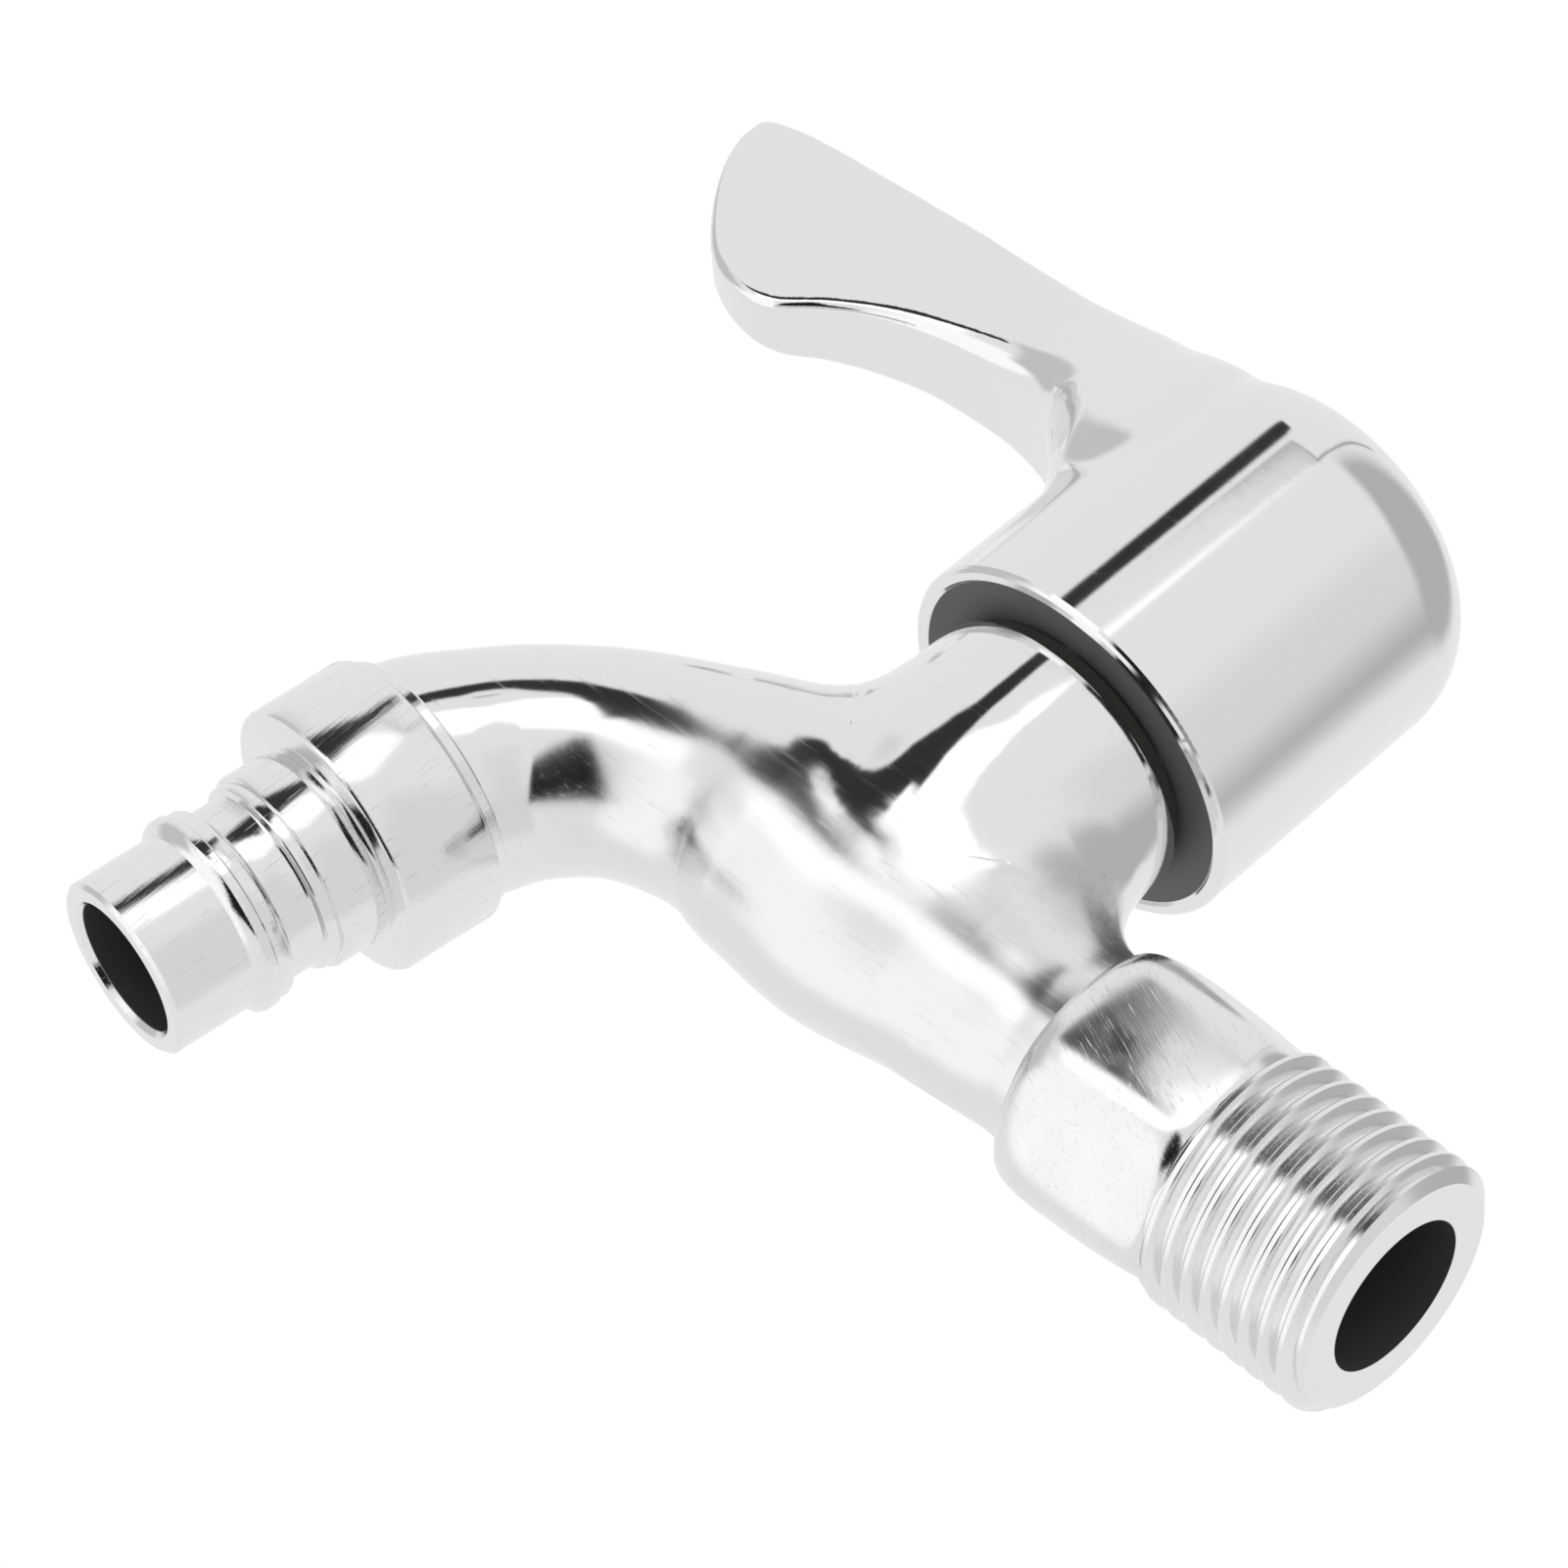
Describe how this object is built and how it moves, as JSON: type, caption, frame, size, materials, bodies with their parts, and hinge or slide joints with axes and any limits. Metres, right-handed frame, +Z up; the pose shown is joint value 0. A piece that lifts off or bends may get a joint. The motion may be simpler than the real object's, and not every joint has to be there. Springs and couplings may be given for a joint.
{
  "type": "wall-mounted faucet",
  "caption": "Wall-mounted faucet with a threaded inlet, a bent spout with a hose nozzle and a quarter-turn ceramic valve under a bell-shaped lever handle.",
  "frame": {"origin": "centre of the inlet's end face, on the inlet axis", "axes": "+Y along the inlet towards the wall, +Z up along the valve axis, spout and lever towards -Y, X across"},
  "size_m": [0.0314, 0.1126, 0.0952],
  "materials": {
    "plated_body": "bright plated casting, lightly rippled",
    "plated_nozzle": "bright plated, turned",
    "plated_handle": "bright plated, polished",
    "brass": "machined",
    "steel": "plain stainless",
    "rubber": "matt black",
    "fibre": "pressed fibre",
    "ceramic": "lapped ceramic",
    "plastic": "plain",
    "button_plastic": "bright"
  },
  "bodies": {
    "tap_body": {"body": "plated_body", "hose_nozzle": "plated_nozzle", "nozzle_washer": "rubber", "cartridge_housing": "brass", "housing_gasket": "fibre", "seat_seal": "rubber", "seat_ring": "steel", "fixed_disc": "ceramic"},
    "handle": {"handle": "plated_handle", "spline_insert": "brass", "screw_washer": "steel", "handle_screw": "steel", "index_button": "button_plastic", "spindle": "brass", "thrust_washer": "plastic", "retaining_clip": "steel", "lower_o_ring": "rubber", "upper_o_ring": "rubber", "moving_disc": "ceramic"}
  },
  "joints": [
    {"name": "handle_turn", "type": "hinge", "parent": "tap_body", "child": "handle", "pos_m": [0, -0.0512, 0.035], "axis": [0, 0, 1], "range_deg": [0, 90]}
  ]
}
